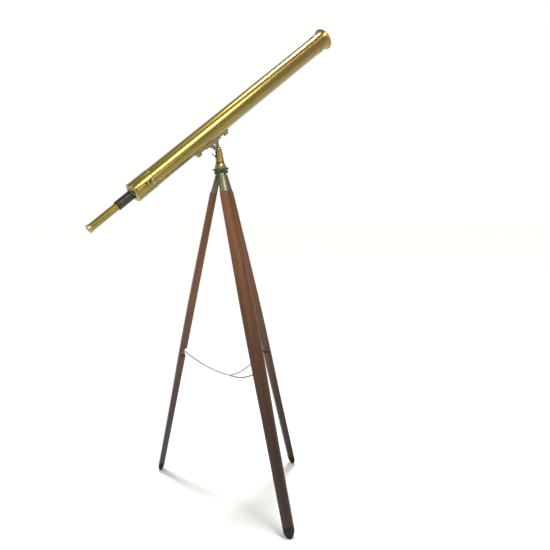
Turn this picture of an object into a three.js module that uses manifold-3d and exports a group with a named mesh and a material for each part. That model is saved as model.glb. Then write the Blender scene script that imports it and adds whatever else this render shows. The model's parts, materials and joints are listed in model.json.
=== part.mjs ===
// A brass refracting telescope on a folding mahogany tripod. Millimetres, +Z up.
//
// The scene graph follows the way the real instrument moves: the leaning tripod head carries
// three hinged legs and the turntable; the turntable carries the tilting telescope; the telescope
// carries the draw tube with its rack, and the draw tube carries the eyepiece.
import * as THREE from 'three';
import { mergeVertices } from 'three/addons/utils/BufferGeometryUtils.js';
import { ConvexGeometry } from 'three/addons/geometries/ConvexGeometry.js';
import Module from 'manifold-3d';

const wasm = await Module();
wasm.setup();

// ---------------------------------------------------------------- driving dimensions
const GAP = 0.3;                      // clearance between pieces that touch
const SLEEVE_WALL = 1.3;

// Telescope, along its own axis X, measured from the tilting pivot
const TUBE_R = 41;                    // outside radius of the main tube
const TUBE_WALL = 1.5;
const TAIL_X = -434.7;                // eye end of the main tube
const MOUTH_X = 811.4;                // rim of the flared objective mouth
const AXIS_HEIGHT = 88.6;             // tube axis above the tilting pivot
const BELL_LENGTH = 66;
const BELL_RIM_R = 51;
const FOCUSER_LENGTH = 98;            // outer sleeve at the eye end
const GUIDE_LENGTH = 130;             // inner sleeve that the draw tube slides in
const CAP_DEPTH = 12.7;               // tail cap, standing behind the main tube
const DRAW_R = 20;
const DRAW_WALL = 1.6;
const DRAW_LENGTH = 330;
const DRAW_SHOWN = 88;                // draw tube end behind the tail
const EYEPIECE_R = 16;
const EYEPIECE_WALL = 1.4;
const EYEPIECE_SHOWN = 240;           // eyecup rim behind the tail
const EYEPIECE_LENGTH = 183;
const EYECUP_R = 19;
const LENS_R = 36.2;

// Rack and pinion: the pinion's shaft is radial, on the side of the tube
const MODULE = 1.5;                   // tooth pitch / pi
const PINION_TEETH = 8;
const PINION_X = TAIL_X + 83;
const RACK_START_X = -434;
const RACK_END_X = -240;
const LOCK_X = TAIL_X + 62;           // small screw that locks the draw tube
const LOCK_Z = 7;

// Saddle under the tube
const SADDLE_X = -8;                  // middle of the saddle bar, from the pivot
const BAR_LENGTH = 206;
const BAR_WIDTH = 24;
const BAR_BOTTOM = 41;                // above the pivot
const WING_SPACING = 166;
const SCREWS_X = [-46, 36];           // screws that hold the casting to the bar
const TONGUE_THICK = 10.4;
const FORK_SLOT = 11;

// Tripod head, heights above the leg hinges along the head's own axis
const HINGE_HEIGHT = 1532.1;          // of the hinge plane above the floor
const LEAN_X = -0.1019;               // the head leans, because the legs are unevenly spread
const LEAN_Y = -0.0853;
const HINGE_R = 15;                   // hinge pins from the head's axis
const DRUM_R = 31;
const RIM_R = 36.5;
const RIM_BOTTOM = 16;
const RIM_TOP = 22;
const FLANGE_TOP = 46;
const WASHER_TOP = 50;
const PIVOT_HEIGHT = 103;
const PILLAR_R = 19.6;
const PILLAR_TOP_R = 14;
const SPINDLE_R = 7;
const LEVER_HEIGHT = 76;              // clamp lever's screw, on the rear of the pillar
const LEVER_LENGTH = 17;
const LEVER_LEAN = 50;                // from the head's axis, degrees
const HEADING = 29.1;                 // of the telescope about the head's axis, degrees
const ELEVATION = 29.67;              // of the telescope above the head's rim plane

// Legs: each is a third of a round column, hinged at its top
const LEGS = { back: 40.5, left: 160.5, front: 280.5 };   // azimuth about the head's axis
const LEG_LENGTH = 1597.5;            // hinge pin to floor
const FOOT_X = 3;                     // foot tip, outward of the line through the hinge pin
const SHEATH_TOP = 11;                // below the hinge pin
const SHEATH_END = 88;
const SHOE_START = 1548;
const WEDGE_INSET = 1.1;              // keeps the three closed legs apart
const TONGUE_WIDTH = 12;
const PIN_R = 3;
const EYE_DROP = 895;                 // chain eye below the hinge pin
const NOTCH_DEPTH = 12;

// Spreader chains, meeting at a ring that hangs between the legs
const RING_AT = new THREE.Vector3(31, 46, 583);
const RING_R = 6.5;
const CHAIN_R = 2.4;
const CHAIN_SAG = { left: 20, front: 32, back: 42 };

// ---------------------------------------------------------------- materials
const finish = (color, roughness, metalness) =>
  new THREE.MeshStandardMaterial({ color, roughness, metalness });
const BRASS = finish(0x8f7a3c, 0.3, 1);
const OLD_BRASS = finish(0x6f6c4c, 0.45, 1);
const BRONZE = finish(0x38372a, 0.5, 1);
const DARK = finish(0x2c2c26, 0.45, 0.8);
const STEEL = finish(0x77756c, 0.35, 1);
const IRON = finish(0x2b2724, 0.55, 0.9);
const WOOD = finish(0x6b4028, 0.4, 0);
const GLASS = finish(0xc8d8d4, 0.05, 0);
const LEATHER = finish(0x241d18, 0.8, 0);

// Sides of a round piece, by its size
const LARGE = 26;
const MEDIUM = 20;
const SMALL = 12;

// ---------------------------------------------------------------- geometry helpers
const vec = (x, y, z) => new THREE.Vector3(x, y, z);
const radians = THREE.MathUtils.degToRad;

function toSolid(geometry) {
  const bare = geometry.index ? geometry.clone() : geometry;
  bare.deleteAttribute('normal');
  bare.deleteAttribute('uv');
  const merged = mergeVertices(bare, 1e-4);
  const kept = [];
  const index = merged.index.array;
  for (let i = 0; i < index.length; i += 3) {
    const [a, b, c] = [index[i], index[i + 1], index[i + 2]];
    if (a !== b && b !== c && c !== a) kept.push(a, b, c);
  }
  const mesh = new wasm.Mesh({
    numProp: 3,
    vertProperties: new Float32Array(merged.attributes.position.array),
    triVerts: new Uint32Array(kept),
  });
  return new wasm.Manifold(mesh);
}

function toGeometry(solid) {
  const mesh = solid.getMesh();
  const geometry = new THREE.BufferGeometry();
  geometry.setAttribute('position', new THREE.BufferAttribute(mesh.vertProperties, 3));
  geometry.setIndex(new THREE.BufferAttribute(mesh.triVerts, 1));
  return geometry;
}

const join = (...parts) => toGeometry(parts.map(toSolid).reduce((a, b) => a.add(b)));
const cut = (body, ...tools) =>
  toGeometry(tools.map(toSolid).reduce((a, b) => a.subtract(b), toSolid(body)));
const common = (a, b) => toGeometry(toSolid(a).intersect(toSolid(b)));

// Faces point outward whichever way round the profile was drawn.
function outward(geometry) {
  const { position } = geometry.attributes;
  const index = geometry.index.array;
  const corner = (i) => vec().fromBufferAttribute(position, index[i]);
  let volume = 0;
  for (let i = 0; i < index.length; i += 3) {
    volume += corner(i).dot(corner(i + 1).cross(corner(i + 2)));
  }
  if (volume < 0) {
    for (let i = 0; i < index.length; i += 3) {
      [index[i], index[i + 1]] = [index[i + 1], index[i]];
    }
  }
  return geometry;
}

// Turned piece about Z from [height, radius] points; a ring's last point repeats its first.
function turned(points, segments = MEDIUM) {
  const profile = points.map(([z, r]) => new THREE.Vector2(r, z));
  return outward(new THREE.LatheGeometry(profile, segments).rotateX(Math.PI / 2));
}
const ring = (points, segments) => turned([...points, points[0]], segments);
const alongX = (geometry) => geometry.rotateY(Math.PI / 2);
const outOfSide = (geometry) => geometry.rotateX(Math.PI / 2);   // +Z becomes -Y, the knob side

// Straight tube between two places on the X axis.
const tubeX = (x0, x1, outer, inner, segments) =>
  alongX(ring([[x0, inner], [x0, outer], [x1, outer], [x1, inner]], segments));

const rod = (radius, z0, z1, segments = SMALL) =>
  turned([[z0, 0], [z0, radius], [z1, radius], [z1, 0]], segments);

const block = (x0, x1, y0, y1, z0, z1) =>
  new THREE.BoxGeometry(x1 - x0, y1 - y0, z1 - z0)
    .translate((x0 + x1) / 2, (y0 + y1) / 2, (z0 + z1) / 2);

// Plate with an outline in the XZ plane, centred on Y.
function plate(shape, thickness, curveSegments = 6) {
  return new THREE.ExtrudeGeometry(shape, { depth: thickness, bevelEnabled: false, curveSegments })
    .rotateX(Math.PI / 2)
    .translate(0, thickness / 2, 0);
}

// Lens between two spherical faces; a negative bulge is hollow.
function lens(x0, edge, rearBulge, frontBulge, radius, segments = LARGE) {
  const steps = 2;
  const points = [];
  for (let i = 0; i <= steps; i += 1) {
    const r = (radius * i) / steps;
    points.push([x0 - rearBulge * (1 - (r / radius) ** 2), r]);
  }
  for (let i = steps; i >= 0; i -= 1) {
    const r = (radius * i) / steps;
    points.push([x0 + edge + frontBulge * (1 - (r / radius) ** 2), r]);
  }
  return alongX(turned(points, segments));
}

function put(group, name, geometry, material) {
  const mesh = new THREE.Mesh(geometry, material);
  mesh.name = name;
  group.add(mesh);
  return mesh;
}

// ---------------------------------------------------------------- frames
const telescopeStand = new THREE.Group();

const headAxis = vec(LEAN_X, LEAN_Y, 1).normalize();
const headEast = vec(0, 1, 0).cross(headAxis).normalize();
const headNorth = vec().crossVectors(headAxis, headEast);
const head = new THREE.Group();
head.quaternion.setFromRotationMatrix(
  new THREE.Matrix4().makeBasis(headEast, headNorth, headAxis));
head.position.set(10.2, 7.9, HINGE_HEIGHT);
telescopeStand.add(head);

const turntable = new THREE.Group();
turntable.rotation.z = radians(HEADING);
head.add(turntable);

const cradle = new THREE.Group();          // origin on the tilting pivot, X along the tube
cradle.position.z = PIVOT_HEIGHT;
cradle.rotation.y = -radians(ELEVATION);
turntable.add(cradle);

const tube = new THREE.Group();            // the same, with its origin on the tube's axis
tube.position.z = AXIS_HEIGHT;
cradle.add(tube);

// Angle between a leg and the head's axis that puts the foot tip on the floor.
function splayOf(azimuth) {
  const outwardDir = headEast.clone().multiplyScalar(Math.cos(azimuth))
    .addScaledVector(headNorth, Math.sin(azimuth));
  const hinge = head.position.clone().addScaledVector(outwardDir, HINGE_R);
  const reach = Math.hypot(LEG_LENGTH, FOOT_X);
  const tilt = Math.atan2(outwardDir.z, headAxis.z);
  const swing = Math.acos(hinge.z / (reach * Math.hypot(outwardDir.z, headAxis.z)));
  return swing - tilt - Math.atan2(FOOT_X, LEG_LENGTH);
}

// ---------------------------------------------------------------- tripod head
const SPINDLE_BORE = SPINDLE_R + GAP + 0.1;
const drumSlot = (azimuth) => block(5.5, 60, -6.3, 6.3, -20, 9).rotateZ(azimuth);
const pinHole = (azimuth) => rod(PIN_R + GAP, -19.8, 19.8, 14)
  .rotateX(Math.PI / 2)
  .translate(HINGE_R, 0, 0)
  .rotateZ(azimuth);

function tripodHead() {
  const body = ring([
    [RIM_BOTTOM + 3, SPINDLE_BORE], [RIM_BOTTOM + 3, 11], [-4, 11], [-4, DRUM_R - 2], [-2, DRUM_R],
    [RIM_BOTTOM - 4, DRUM_R], [RIM_BOTTOM, RIM_R - 1], [RIM_BOTTOM + 1, RIM_R],
    [RIM_TOP - 1, RIM_R], [RIM_TOP, RIM_R - 1], [RIM_TOP, SPINDLE_BORE],
  ], LARGE);
  const tools = Object.values(LEGS).flatMap((deg) => [
    drumSlot(radians(deg)), pinHole(radians(deg)),
  ]);
  return cut(body, ...tools);
}

put(head, 'tripod_head', tripodHead(), BRONZE);

const flangeFoot = RIM_TOP + GAP;
put(head, 'head_flange', ring([
  [flangeFoot, SPINDLE_BORE], [flangeFoot, 27], [flangeFoot + 3, 27], [flangeFoot + 6, 26],
  [flangeFoot + 12, 24.2], [FLANGE_TOP - 3, 21.2], [FLANGE_TOP, 20.6], [FLANGE_TOP, SPINDLE_BORE],
], MEDIUM), BRASS);

put(head, 'friction_washer', ring([
  [FLANGE_TOP + GAP, SPINDLE_BORE], [FLANGE_TOP + GAP, 19.6], [WASHER_TOP, 19.6],
  [WASHER_TOP, SPINDLE_BORE],
], 24), LEATHER);

// ---------------------------------------------------------------- legs
// The leg's column stands on the head's axis when closed, HINGE_R inward of the hinge pin.
const sector = (inset, reach, z0, z1) => {
  const apex = inset / Math.sin(Math.PI / 3);
  const shape = new THREE.Shape([
    new THREE.Vector2(apex, 0),
    new THREE.Vector2(apex + reach * 0.5, -reach * 0.866),
    new THREE.Vector2(apex + reach * 1.2, 0),
    new THREE.Vector2(apex + reach * 0.5, reach * 0.866),
  ]);
  return new THREE.ExtrudeGeometry(shape, { depth: z1 - z0, bevelEnabled: false })
    .translate(0, 0, z0);
};

function column(stations, segments = LARGE) {
  const first = stations[0];
  const last = stations[stations.length - 1];
  return turned([[first[0], 0], ...stations, [last[0], 0]], segments);
}

function legWood() {
  const swell = new THREE.SplineCurve([
    new THREE.Vector2(-SHEATH_END - 6, 33.8), new THREE.Vector2(-300, 35.8),
    new THREE.Vector2(-700, 39), new THREE.Vector2(-1160, 33.6),
    new THREE.Vector2(-SHOE_START + GAP, 30.6),
  ]);
  const outline = swell.getPoints(9).map((p) => [p.x, p.y]);
  outline.unshift([-SHEATH_END - 0.4, 31.4]);
  const shaft = common(column(outline), sector(WEDGE_INSET, 80, -1600, 0));
  const tenon = common(
    column([[-SHEATH_TOP - 5, 22.4], [-SHEATH_END - 2, 28.4]]),
    sector(WEDGE_INSET + 2.4, 80, -200, 0));
  const apex = WEDGE_INSET / Math.sin(Math.PI / 3);
  const notch = block(-5, apex + NOTCH_DEPTH, -40, 40, -EYE_DROP - 20, -EYE_DROP + 20);
  const eyeHole = rod(1.8, 0, 9.5, 10).rotateY(Math.PI / 2)
    .translate(apex + NOTCH_DEPTH - 0.5, 0, -EYE_DROP);
  return cut(join(shaft, tenon), notch, eyeHole).translate(-HINGE_R, 0, 0);
}

function legSheath() {
  const shell = common(
    column([[-SHEATH_TOP, 24.6], [-SHEATH_TOP - 1.5, 25.6], [-SHEATH_END + 3, 30.8],
      [-SHEATH_END, 31.2]]),
    sector(WEDGE_INSET, 80, -200, 0));
  const hollow = common(
    column([[-SHEATH_TOP - 4.6, 22.7], [-SHEATH_END - 4, 28.9]]),
    sector(WEDGE_INSET + 2.1, 80, -200, 0));
  const tongueShape = new THREE.Shape();
  tongueShape.moveTo(-8, -SHEATH_TOP - 2);
  tongueShape.lineTo(-8, 0);
  tongueShape.absarc(0, 0, 8, Math.PI, 0, true);
  tongueShape.lineTo(8, -SHEATH_TOP - 2);
  tongueShape.closePath();
  const tongue = plate(tongueShape, TONGUE_WIDTH, 5).translate(HINGE_R, 0, 0);
  const bore = rod(PIN_R + GAP, -20, 20, 14).rotateX(Math.PI / 2).translate(HINGE_R, 0, 0);
  return cut(join(shell, tongue), hollow, bore).translate(-HINGE_R, 0, 0);
}

function legShoe() {
  const outline = (radius, scale, z) => {
    const points = [vec(1.4, 0, z)];
    for (let i = -3; i <= 3; i += 1) {
      const angle = (i / 3) * radians(57.5);
      points.push(vec(radius * Math.cos(angle), radius * Math.sin(angle), z));
    }
    const middle = HINGE_R + FOOT_X;
    return points.map((p) => vec(middle + (p.x - middle) * scale, p.y * scale, z));
  };
  const tip = [];
  for (let i = 0; i < 10; i += 1) {
    const angle = (i / 10) * 2 * Math.PI;
    tip.push(vec(HINGE_R + FOOT_X + 4.5 * Math.cos(angle), 4.5 * Math.sin(angle), -LEG_LENGTH - 3));
  }
  const hull = new ConvexGeometry([
    ...outline(30.6, 1, -SHOE_START), ...outline(30.2, 0.97, -SHOE_START - 14),
    ...outline(28, 0.66, -LEG_LENGTH + 16), ...tip,
  ]);
  return toGeometry(toSolid(hull)).translate(-HINGE_R, 0, 0);
}

function chainEye() {
  const apex = WEDGE_INSET / Math.sin(Math.PI / 3);
  const floor = apex + NOTCH_DEPTH - HINGE_R;
  const loop = new THREE.TorusGeometry(3.4, 1.1, 6, 12).rotateX(Math.PI / 2)
    .translate(floor - 5, 0, -EYE_DROP);
  const stem = rod(1.5, -1.2, 8, 8).rotateY(Math.PI / 2).translate(floor, 0, -EYE_DROP);
  return join(loop, stem);
}

// The shoe's point is ground flat where it stands on the floor.
function groundFlat(mesh) {
  mesh.updateWorldMatrix(true, false);
  const inWorld = mesh.geometry.clone().applyMatrix4(mesh.matrixWorld);
  const floorCut = cut(inWorld, block(-900, 900, -900, 900, -100, 0));
  mesh.geometry = floorCut.applyMatrix4(mesh.matrixWorld.clone().invert());
}

const wood = legWood();
const sheath = legSheath();
const shoe = legShoe();
const eye = chainEye();
const eyeWorld = {};
for (const [name, degrees] of Object.entries(LEGS)) {
  const azimuth = radians(degrees);
  const spoke = new THREE.Group();
  spoke.rotation.z = azimuth;
  head.add(spoke);
  const pin = rod(PIN_R, -19.5, 19.5, 14).rotateX(Math.PI / 2).translate(HINGE_R, 0, 0);
  put(spoke, `hinge_pin_${name}`, pin, STEEL);

  const leg = new THREE.Group();
  leg.name = `leg_${name}`;
  leg.position.x = HINGE_R;
  leg.rotation.y = -splayOf(azimuth);
  spoke.add(leg);
  put(leg, `leg_wood_${name}`, wood.clone(), WOOD);
  put(leg, `leg_sheath_${name}`, sheath.clone(), OLD_BRASS);
  put(leg, `chain_eye_${name}`, eye.clone(), STEEL);
  groundFlat(put(leg, `leg_shoe_${name}`, shoe.clone(), IRON));

  leg.updateWorldMatrix(true, false);
  const loopInner = WEDGE_INSET / Math.sin(Math.PI / 3) + NOTCH_DEPTH - HINGE_R - 9.5;
  eyeWorld[name] = vec(loopInner, 0, -EYE_DROP).applyMatrix4(leg.matrixWorld);
}

// ---------------------------------------------------------------- chains
put(telescopeStand, 'chain_ring',
  new THREE.TorusGeometry(RING_R, 1.4, 6, 16).translate(RING_AT.x, RING_AT.y, RING_AT.z), STEEL);

for (const [name, from] of Object.entries(eyeWorld)) {
  const inward = RING_AT.clone().sub(from).setZ(0).normalize();
  const start = from.clone().addScaledVector(inward, CHAIN_R + 1).add(vec(0, 0, -CHAIN_R));
  const end = RING_AT.clone().addScaledVector(inward, -(RING_R + 1.4 + CHAIN_R + GAP));
  const middle = start.clone().lerp(end, 0.5).add(vec(0, 0, -2 * CHAIN_SAG[name]));
  const route = new THREE.QuadraticBezierCurve3(start, middle, end);
  const section = new THREE.Shape().absarc(0, 0, CHAIN_R, 0, 2 * Math.PI);
  const links = new THREE.ExtrudeGeometry(section, {
    steps: 18, extrudePath: route, curveSegments: 4,
  });
  put(telescopeStand, `chain_${name}`, links, STEEL);
}

// ---------------------------------------------------------------- turntable
const pillarFoot = WASHER_TOP + GAP;

function pillarBody() {
  const dome = [];
  for (let i = 1; i <= 5; i += 1) {
    const angle = (i / 5) * (Math.PI / 2);
    dome.push([PIVOT_HEIGHT + PILLAR_TOP_R * Math.sin(angle), PILLAR_TOP_R * Math.cos(angle)]);
  }
  const body = turned([
    [RIM_BOTTOM - 2.5, 0], [RIM_BOTTOM - 2.5, SPINDLE_R], [pillarFoot, SPINDLE_R],
    [pillarFoot, PILLAR_R],
    [pillarFoot + 4, PILLAR_R], [pillarFoot + 8, 18.6], [PIVOT_HEIGHT - 16, 15.8],
    [PIVOT_HEIGHT, PILLAR_TOP_R], ...dome,
  ], MEDIUM);
  const slot = block(-30, 30, -FORK_SLOT / 2, FORK_SLOT / 2, PIVOT_HEIGHT - 17, 140);
  const bolt = rod(4 + GAP, -30, 30, 14).rotateX(Math.PI / 2).translate(0, 0, PIVOT_HEIGHT);
  const clampHole = rod(3 + GAP, -30, -9.7, 12).rotateY(Math.PI / 2)
    .translate(0, 0, LEVER_HEIGHT);
  return cut(body, slot, bolt, clampHole);
}

put(turntable, 'pillar', pillarBody(), BRASS);
const hexNut = (size, bore, z0, z1) => cut(rod(size, z0, z1, 6), rod(bore, z0 - 1, z1 + 1, 20));
put(turntable, 'spindle_nut', hexNut(10.4, SPINDLE_R + GAP, 14.3, 18.6), STEEL);
put(turntable, 'pivot_bolt', outOfSide(turned([
  [-19.6, 0], [-19.6, 4], [14.8, 4], [14.8, 6.2], [16.2, 6.2], [17.2, 5], [17.2, 0],
], 16)).translate(0, 0, PIVOT_HEIGHT), STEEL);
put(turntable, 'pivot_nut', hexNut(7.6, 4 + GAP, 15.1, 19)
  .rotateX(-Math.PI / 2).translate(0, 0, PIVOT_HEIGHT), BRASS);

function clampLever() {
  const screw = rod(3, -20.5, -10, 12).rotateY(Math.PI / 2);
  const boss = rod(5, -21, -17.6, 12).rotateY(Math.PI / 2);
  const lean = radians(LEVER_LEAN);
  const arm = rod(1.9, 0, LEVER_LENGTH, 8).rotateY(-lean).translate(-19.3, 0, 0);
  const knob = new THREE.SphereGeometry(2.9, 8, 6)
    .translate(-19.3 - LEVER_LENGTH * Math.sin(lean), 0, LEVER_LENGTH * Math.cos(lean));
  return join(screw, boss, arm, knob);
}
put(turntable, 'clamp_lever', clampLever().translate(0, 0, LEVER_HEIGHT), IRON);

// ---------------------------------------------------------------- saddle
function saddleCasting() {
  const outline = new THREE.Shape();
  outline.moveTo(-40, 38);
  outline.quadraticCurveTo(-23, 30, -19.7, 15.5);
  outline.lineTo(-12, 0);
  outline.absarc(0, 0, 12, Math.PI, 2 * Math.PI, false);
  outline.quadraticCurveTo(9, 24, 30, 38);
  outline.closePath();
  const slit = new THREE.Path();
  slit.moveTo(-2.6, 13);
  slit.lineTo(3.2, 31);
  slit.lineTo(-7.6, 31);
  slit.closePath();
  outline.holes.push(slit);
  const web = plate(outline, TONGUE_THICK, 7);
  const foot = block(-53, 42, -11, 11, 36.6, BAR_BOTTOM - GAP);
  const bolt = rod(4 + GAP, -20, 20, 14).rotateX(Math.PI / 2);
  const screws = SCREWS_X.map((x) => rod(2.2, 30, 50, 10).translate(x, 0, 0));
  return cut(join(web, foot), bolt, ...screws);
}
put(cradle, 'saddle_casting', saddleCasting(), OLD_BRASS);

const wingX = [SADDLE_X - WING_SPACING / 2, SADDLE_X + WING_SPACING / 2];

function saddleBar() {
  const outline = new THREE.Shape();
  const straight = BAR_LENGTH / 2 - BAR_WIDTH / 2;
  outline.absarc(SADDLE_X + straight, 0, BAR_WIDTH / 2, -Math.PI / 2, Math.PI / 2, false);
  outline.absarc(SADDLE_X - straight, 0, BAR_WIDTH / 2, Math.PI / 2, 1.5 * Math.PI, false);
  outline.closePath();
  const bar = new THREE.ExtrudeGeometry(outline, {
    depth: 10, bevelEnabled: false, curveSegments: 8,
  }).translate(0, 0, BAR_BOTTOM);
  const bed = alongX(rod(TUBE_R + GAP, -200, 200, 48)).translate(0, 0, AXIS_HEIGHT);
  const holes = wingX.map((x) => rod(3.4, 30, 60, 12).translate(x, 0, 0));
  const screws = SCREWS_X.map((x) => rod(2.2, 30, BAR_BOTTOM + 3.6, 10).translate(x, 0, 0));
  return cut(bar, bed, ...holes, ...screws);
}
put(cradle, 'saddle_bar', saddleBar(), BRASS);

for (const [name, x] of [['rear', SCREWS_X[0]], ['front', SCREWS_X[1]]]) {
  put(cradle, `saddle_screw_${name}`, turned([
    [33.2, 0], [33.2, 2.6], [34, 3.8], [36.3, 3.8], [36.3, 1.9], [44.2, 1.9], [44.2, 0],
  ], 12).translate(x, 0, 0), STEEL);
}

function wingScrew() {
  const stem = turned([
    [27.5, 0], [27.5, 2.6], [29, 4.2], [36, 4.2], [37, 6.4], [BAR_BOTTOM - GAP, 6.4],
    [BAR_BOTTOM - GAP, 3], [54, 3], [54, 0],
  ], 14);
  const wing = (side) => {
    const lobe = new THREE.Shape();
    lobe.moveTo(side * 2, 30);
    lobe.lineTo(side * 7, 29.5);
    lobe.absarc(side * 9.2, 34, 4.6, -Math.PI / 2, side > 0 ? Math.PI * 0.75 : -Math.PI * 1.75,
      side < 0);
    lobe.lineTo(side * 2, 35.5);
    lobe.closePath();
    return plate(lobe, 3.2, 5);
  };
  return join(stem, wing(1), wing(-1));
}
const wing = wingScrew();
put(cradle, 'wing_screw_rear', wing.clone().translate(wingX[0], 0, 0), BRASS);
put(cradle, 'wing_screw_front', wing.clone().translate(wingX[1], 0, 0), BRASS);

// ---------------------------------------------------------------- main tube
const BORE_R = TUBE_R - TUBE_WALL;
const INNER_FIT = BORE_R - GAP;
const bellStart = MOUTH_X - BELL_LENGTH;
const tubeFront = bellStart + 24;
const radialHole = (radius, x, z) =>
  outOfSide(rod(radius, 10, 80, 12)).translate(x, 0, z);

const wingHoles = wingX.map((x) => rod(3.4, -70, -20, 12).translate(x, 0, 0));
put(tube, 'main_tube', cut(
  tubeX(TAIL_X, tubeFront, TUBE_R, BORE_R, LARGE),
  radialHole(3.5, PINION_X, 0), radialHole(3, LOCK_X, LOCK_Z), ...wingHoles), BRASS);

for (const [name, x] of [['rear', wingX[0]], ['front', wingX[1]]]) {
  const rough = block(x - 10, x + 10, -9, 9, -60, -32);
  const inside = alongX(rod(INNER_FIT, x - 30, x + 30, LARGE));
  const hole = rod(3.4, -70, -20, 12).translate(x, 0, 0);
  put(tube, `screw_boss_${name}`, cut(common(rough, inside), hole), BRASS);
}

// ---------------------------------------------------------------- objective
function bell() {
  const outer = [];
  const inner = [];
  const steps = 4;
  const neck = TUBE_R + GAP + SLEEVE_WALL;
  for (let i = 0; i <= steps; i += 1) {
    const t = i / steps;
    const x = tubeFront + 2 + (MOUTH_X - tubeFront - 2) * t;
    const flare = (BELL_RIM_R - neck) * (1 - Math.sqrt(1 - 0.93 * t * t)) / 0.736;
    outer.push([x, neck + flare]);
    inner.unshift([x, neck + flare - 2.2]);
  }
  outer[steps][1] = BELL_RIM_R - 0.6;
  inner[0][1] = BELL_RIM_R - 3.2;
  return alongX(ring([
    [bellStart, TUBE_R + GAP], [bellStart, neck + 0.9], [bellStart + 3, neck + 0.9],
    [bellStart + 4.5, neck], ...outer, ...inner, [tubeFront + 1, TUBE_R - 1],
    [tubeFront + 1, TUBE_R + GAP],
  ], LARGE));
}
put(tube, 'objective_bell', bell(), BRASS);

const cellRear = tubeFront - 34;
put(tube, 'lens_cell', alongX(ring([
  [cellRear, 34], [cellRear, INNER_FIT], [cellRear + 30, INNER_FIT],
  [cellRear + 30, LENS_R + GAP], [cellRear + 3, LENS_R + GAP], [cellRear + 3, 34],
], LARGE)), BRASS);
const flintRear = cellRear + 3 + GAP;
put(tube, 'flint_lens', lens(flintRear, 6, 0, -2, LENS_R, LARGE), GLASS);
const crownRear = flintRear + 6.8;
put(tube, 'crown_lens', lens(crownRear, 4.5, 2, 2.5, LENS_R), GLASS);
const ringRear = crownRear + 5.2;
put(tube, 'retaining_ring', alongX(ring([
  [ringRear, 33.4], [ringRear, LENS_R], [ringRear + 4, LENS_R], [ringRear + 4, 33.4],
], LARGE)), DARK);

for (const [name, x, opening] of [['front', 470, 31], ['rear', 130, 26]]) {
  put(tube, `baffle_${name}`, tubeX(x, x + 2, INNER_FIT, opening, 24), DARK);
}

// ---------------------------------------------------------------- focuser
const rackPitch = Math.PI * MODULE;
const pinionR = (MODULE * PINION_TEETH) / 2;
const rackWay = (x0, x1) => block(x0, x1, -27, -15, -13.4, -4.2);

put(tube, 'focuser_sleeve', cut(alongX(ring([
  [TAIL_X, TUBE_R + GAP], [TAIL_X, 43], [TAIL_X + 2, 43.6], [TAIL_X + 4, 43],
  [TAIL_X + 5, TUBE_R + GAP + SLEEVE_WALL], [TAIL_X + FOCUSER_LENGTH - 5, 42.6],
  [TAIL_X + FOCUSER_LENGTH - 4, 43.4], [TAIL_X + FOCUSER_LENGTH - 2, 43.9],
  [TAIL_X + FOCUSER_LENGTH, 43], [TAIL_X + FOCUSER_LENGTH, TUBE_R + GAP],
], LARGE)), radialHole(3.5, PINION_X, 0), radialHole(3, LOCK_X, LOCK_Z)), BRASS);

put(tube, 'tail_cap', cut(alongX(ring([
  [TAIL_X - CAP_DEPTH, DRAW_R + GAP], [TAIL_X - CAP_DEPTH, 26.4], [TAIL_X - CAP_DEPTH + 1.2, 27.6],
  [TAIL_X - 8.5, 28], [TAIL_X - 7.6, 33], [TAIL_X - 6.2, 35.4], [TAIL_X - 4.6, 39.6],
  [TAIL_X - 2.6, 42.2], [TAIL_X - GAP, 42.6], [TAIL_X - GAP, INNER_FIT],
  [TAIL_X + 10, INNER_FIT], [TAIL_X + 10, 23.8], [TAIL_X - 3, 23.8], [TAIL_X - 3, DRAW_R + GAP],
], LARGE)), rackWay(TAIL_X - 20, TAIL_X + 20)), BRASS);

const guideRear = TAIL_X - 3 + GAP;
put(tube, 'guide_tube', cut(
  tubeX(guideRear, guideRear + GUIDE_LENGTH, 23.5, DRAW_R + GAP, MEDIUM),
  rackWay(guideRear - 5, guideRear + GUIDE_LENGTH + 5),
  block(PINION_X - 9, PINION_X + 9, -30, -10, -14, 9),
  radialHole(3, LOCK_X, LOCK_Z)), DARK);
put(tube, 'guide_ring', cut(
  tubeX(guideRear + GUIDE_LENGTH - 8, guideRear + GUIDE_LENGTH - 2, INNER_FIT, 23.8, MEDIUM),
  rackWay(guideRear + 100, guideRear + 140)), DARK);

// Pinion: gear and shaft in one piece, its axis pointing out of the tube's side.
function toothed(teeth, radius) {
  const shape = new THREE.Shape();
  for (let i = 0; i < teeth; i += 1) {
    const centre = ((i + 0.5) / teeth) * 2 * Math.PI - Math.PI / 2;
    const corner = (r, half) => [
      r * Math.cos(centre + half / r), r * Math.sin(centre + half / r)];
    const path = [
      corner(radius - 1.5, -0.95), corner(radius + 1, -0.4), corner(radius + 1, 0.4),
      corner(radius - 1.5, 0.95)];
    path.forEach(([x, y], j) => (i + j ? shape.lineTo(x, y) : shape.moveTo(x, y)));
  }
  shape.closePath();
  return shape;
}

function pinion() {
  const gear = plate(toothed(PINION_TEETH, pinionR), 4.8).translate(0, -23.7, 0);
  const shaft = outOfSide(rod(3, 22, 56, 14));
  return join(gear, shaft).translate(PINION_X, 0, 0);
}
put(tube, 'pinion', pinion(), STEEL);
put(tube, 'pinion_bush', cut(
  outOfSide(rod(8.8, 39, 47, 20)).translate(PINION_X, 0, 0),
  alongX(rod(TUBE_R + 2 * GAP + SLEEVE_WALL, PINION_X - 40, PINION_X + 40, LARGE)),
  block(PINION_X - 20, PINION_X + 20, -38, 60, -60, 60),
  radialHole(3.5, PINION_X, 0)), BRASS);
put(tube, 'focus_knob', outOfSide(ring([
  [47.4, 3.3], [47.4, 6.2], [49.6, 6.2], [50.6, 11.2], [51.8, 12], [57, 12], [58.4, 10.6],
  [58.8, 7], [58.8, 3.3],
], MEDIUM)).translate(PINION_X, 0, 0), BRASS);
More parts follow.
